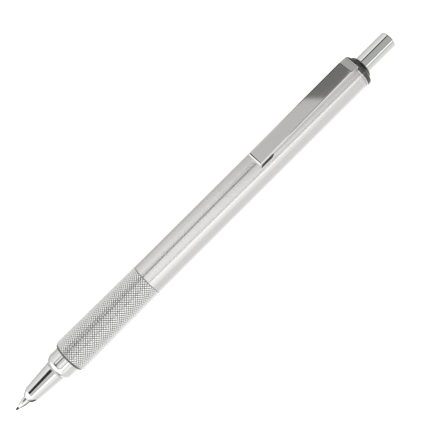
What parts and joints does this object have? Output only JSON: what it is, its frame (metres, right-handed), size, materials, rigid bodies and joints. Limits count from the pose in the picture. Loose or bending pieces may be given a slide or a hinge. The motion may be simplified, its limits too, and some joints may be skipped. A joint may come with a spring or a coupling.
{
  "type": "mechanical pencil",
  "caption": "Push-button mechanical pencil with a knurled steel grip, tapered steel nose, slim steel barrel, spring clip and black end cap.",
  "frame": {"origin": "the writing point, where the pencil's axis meets the front end of the lead", "axes": "+X along the pencil's axis from the writing point to the push button; +Z through the middle of the pocket clip"},
  "size_m": [0.1376, 0.0098, 0.0118],
  "materials": {
    "graphite": "satin",
    "polished_steel": "polished",
    "knurled_steel": "knurled",
    "brushed_steel": "brushed",
    "clip_steel": "polished",
    "button_steel": "satin",
    "spring_steel": "drawn wire",
    "ferrule_metal": "satin",
    "clutch_brass": "turned",
    "core_brass": "turned",
    "black_gloss": "gloss",
    "black_plastic": "moulded",
    "grey_plastic": "moulded",
    "white_plastic": "moulded",
    "reservoir_plastic": "moulded",
    "black_rubber": "moulded",
    "white_eraser": "chalky"
  },
  "bodies": {
    "body": {"barrel": "brushed_steel", "barrel_insert": "core_brass", "grip": "knurled_steel", "grip_liner": "core_brass", "nose_cone": "polished_steel", "lead_guide": "polished_steel", "lead_retainer": "black_rubber", "clutch_sleeve": "grey_plastic", "chuck_spring": "spring_steel", "rear_bushing": "black_plastic", "clip_ring": "clip_steel", "end_cap": "black_gloss"},
    "plunger": {"lead_reservoir": "reservoir_plastic", "chuck_connector": "white_plastic", "chuck_stem": "clutch_brass", "spare_lead_1": "graphite", "spare_lead_2": "graphite", "spare_lead_3": "graphite"},
    "ring": {"clutch_ring": "clutch_brass"},
    "jaw_1": {"chuck_jaw_1": "clutch_brass"},
    "jaw_2": {"chuck_jaw_2": "clutch_brass"},
    "jaw_3": {"chuck_jaw_3": "clutch_brass"},
    "lead_in_use": {"lead": "graphite"},
    "button": {"push_button": "button_steel"},
    "eraser_plug": {"eraser_ferrule": "ferrule_metal", "eraser": "white_eraser"},
    "clip": {"clip_arm": "clip_steel"}
  },
  "joints": [
    {"name": "push", "type": "slide", "parent": "body", "child": "plunger", "axis": [-1, 0, 0], "range_m": [0, 0.003], "stiffness_N_per_m": 400, "springref_m": -0.002, "deforming": ["chuck_spring"]},
    {"name": "ring_follow", "type": "slide", "parent": "body", "child": "ring", "axis": [-1, 0, 0], "range_m": [0, 0.0009]},
    {"name": "jaw_1_open", "type": "hinge", "parent": "plunger", "child": "jaw_1", "pos_m": [0.02097, 0, 0.00105], "axis": [0, 1, 0], "range_deg": [0, 1.5]},
    {"name": "jaw_2_open", "type": "hinge", "parent": "plunger", "child": "jaw_2", "pos_m": [0.02097, -0.00091, -0.00052], "axis": [0, -0.5, 0.866], "range_deg": [0, 1.5]},
    {"name": "jaw_3_open", "type": "hinge", "parent": "plunger", "child": "jaw_3", "pos_m": [0.02097, 0.00091, -0.00052], "axis": [0, -0.5, -0.866], "range_deg": [0, 1.5]},
    {"name": "lead_feed", "type": "slide", "parent": "body", "child": "lead_in_use", "axis": [-1, 0, 0], "range_m": [-0.0008, 0.006]},
    {"name": "cap_pull", "type": "slide", "parent": "plunger", "child": "button", "axis": [1, 0, 0], "range_m": [0, 0.026]},
    {"name": "eraser_pull", "type": "slide", "parent": "plunger", "child": "eraser_plug", "axis": [1, 0, 0], "range_m": [0, 0.0104]},
    {"name": "clip_lift", "type": "hinge", "parent": "body", "child": "clip", "pos_m": [0.1249, 0, 0.00535], "axis": [0, 1, 0], "range_deg": [0, 4], "stiffness_Nm_per_rad": 0.2}
  ],
  "couplings": [
    {"joint": "ring_follow", "follows": "push", "ratio": 0.3},
    {"joint": "jaw_1_open", "follows": "push", "rad_per_m": 8.72},
    {"joint": "jaw_2_open", "follows": "push", "rad_per_m": 8.72},
    {"joint": "jaw_3_open", "follows": "push", "rad_per_m": 8.72},
    {"joint": "eraser_pull", "follows": "cap_pull", "ratio": 0.4}
  ]
}
